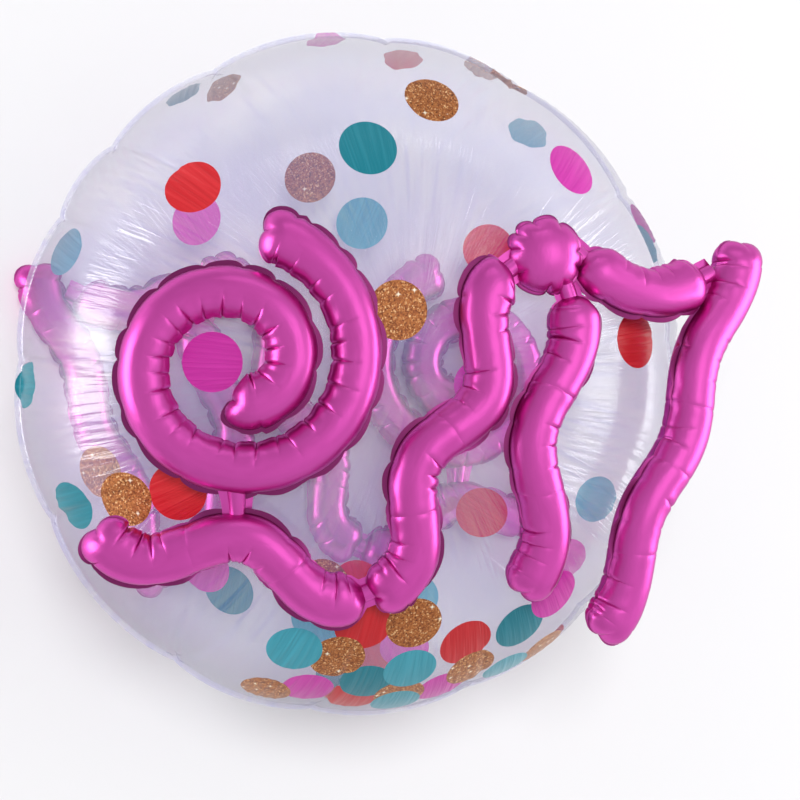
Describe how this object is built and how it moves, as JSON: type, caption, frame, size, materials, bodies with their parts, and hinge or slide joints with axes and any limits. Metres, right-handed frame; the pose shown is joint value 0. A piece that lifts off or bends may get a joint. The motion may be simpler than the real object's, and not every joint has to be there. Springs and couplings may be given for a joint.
{
  "type": "confetti balloon",
  "caption": "Clear round film balloon with printed confetti dots and inflated metallic foil streamer shapes on its face and back, lying on its back.",
  "frame": {"origin": "on the floor, under the middle of the box that the whole part fills, with the balloon lying on its back", "axes": "+Z out of the printed face, +Y to the top of the face, +X to the right of the face as seen from the front"},
  "size_m": [0.6479, 0.6194, 0.4446],
  "materials": {
    "clear_film": "thin clear film, slightly milky lavender, glossy, finely wrinkled in from the rim",
    "magenta_foil": "metallic magenta foil with a soft satin mirror, puckered along its welds",
    "printed_dots": "confetti dots printed on the film in red, teal, magenta and glitter gold"
  },
  "bodies": {
    "root": {"clear_balloon": "clear_film", "face_whirl": "magenta_foil", "face_left_ripple": "magenta_foil", "face_middle_ripple": "magenta_foil", "face_right_ripple": "magenta_foil", "face_long_ripple": "magenta_foil", "face_swag": "magenta_foil", "face_ball": "magenta_foil", "back_whirl": "magenta_foil", "back_left_ripple": "magenta_foil", "back_middle_ripple": "magenta_foil", "back_right_ripple": "magenta_foil", "back_long_ripple": "magenta_foil", "back_swag": "magenta_foil", "back_ball": "magenta_foil"}
  },
  "joints": []
}
